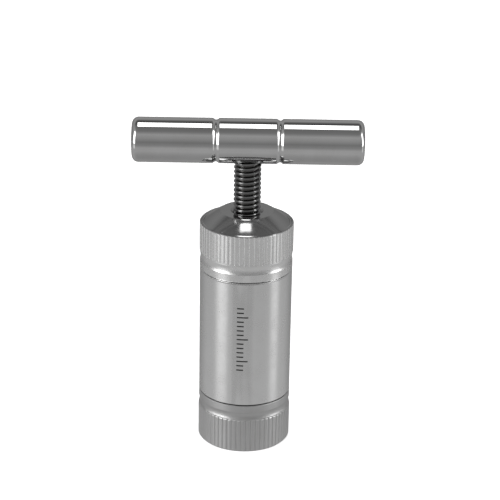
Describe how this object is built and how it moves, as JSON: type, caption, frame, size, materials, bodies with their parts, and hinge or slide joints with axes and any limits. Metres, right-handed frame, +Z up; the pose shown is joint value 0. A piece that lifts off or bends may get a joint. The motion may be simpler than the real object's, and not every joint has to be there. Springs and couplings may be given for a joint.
{
  "type": "T-handle screw press",
  "caption": "Hand press: threaded tube with knurled screw caps, and a T-handle spindle that drives a swivelling piston down the bore.",
  "frame": {"origin": "centre of the base, where the bottom cap stands on the table", "axes": "+Z up along the tube and spindle, +X along the handle bar, +Y to the back"},
  "size_m": [0.0666, 0.0274, 0.0997],
  "materials": {
    "barrel_steel": "satin, fine turned lines round the tube, dark etched ticks",
    "top_cap_steel": "satin knurled side, polished cone",
    "bottom_cap_steel": "satin knurled side, turned base",
    "seal_plastic": "matt black",
    "piston_steel": "fine turned",
    "screw_steel": "blackened",
    "spindle_steel": "polished thread, dark roots",
    "handle_chrome": "mirror polished"
  },
  "bodies": {
    "barrel": {"barrel": "barrel_steel"},
    "top_seal": {"top_seal_washer": "seal_plastic"},
    "top_cap": {"top_cap": "top_cap_steel"},
    "piston": {"piston": "piston_steel", "piston_set_screw": "screw_steel"},
    "handle": {"handle_bar": "handle_chrome", "handle_set_screw": "screw_steel", "spindle": "spindle_steel"},
    "bottom_slug": {"bottom_slug": "piston_steel", "bottom_seal_washer": "seal_plastic"},
    "bottom_cap": {"bottom_cap": "bottom_cap_steel"}
  },
  "joints": [
    {"name": "top_cap_travel", "type": "slide", "parent": "barrel", "child": "top_seal", "axis": [0, 0, 1], "range_m": [0, 0.0065]},
    {"name": "top_cap_turn", "type": "hinge", "parent": "top_seal", "child": "top_cap", "pos_m": [0, 0, 0.0545], "axis": [0, 0, 1], "range_deg": [0, 1560]},
    {"name": "press_travel", "type": "slide", "parent": "top_cap", "child": "piston", "axis": [0, 0, -1], "range_m": [-0.01737, 0.01415]},
    {"name": "handle_turn", "type": "hinge", "parent": "piston", "child": "handle", "pos_m": [0, 0, 0.0932], "axis": [0, 0, -1], "range_deg": [-4430, 3610]},
    {"name": "bottom_cap_travel", "type": "slide", "parent": "barrel", "child": "bottom_slug", "axis": [0, 0, -1], "range_m": [0, 0.0084]},
    {"name": "bottom_cap_turn", "type": "hinge", "parent": "bottom_slug", "child": "bottom_cap", "pos_m": [0, 0, 0.0153], "axis": [0, 0, -1], "range_deg": [0, 2016]}
  ],
  "couplings": [
    {"joint": "top_cap_travel", "follows": "top_cap_turn", "m_per_rad": 0.00023873},
    {"joint": "press_travel", "follows": "handle_turn", "m_per_rad": 0.00022459},
    {"joint": "bottom_cap_travel", "follows": "bottom_cap_turn", "m_per_rad": 0.00023873}
  ]
}
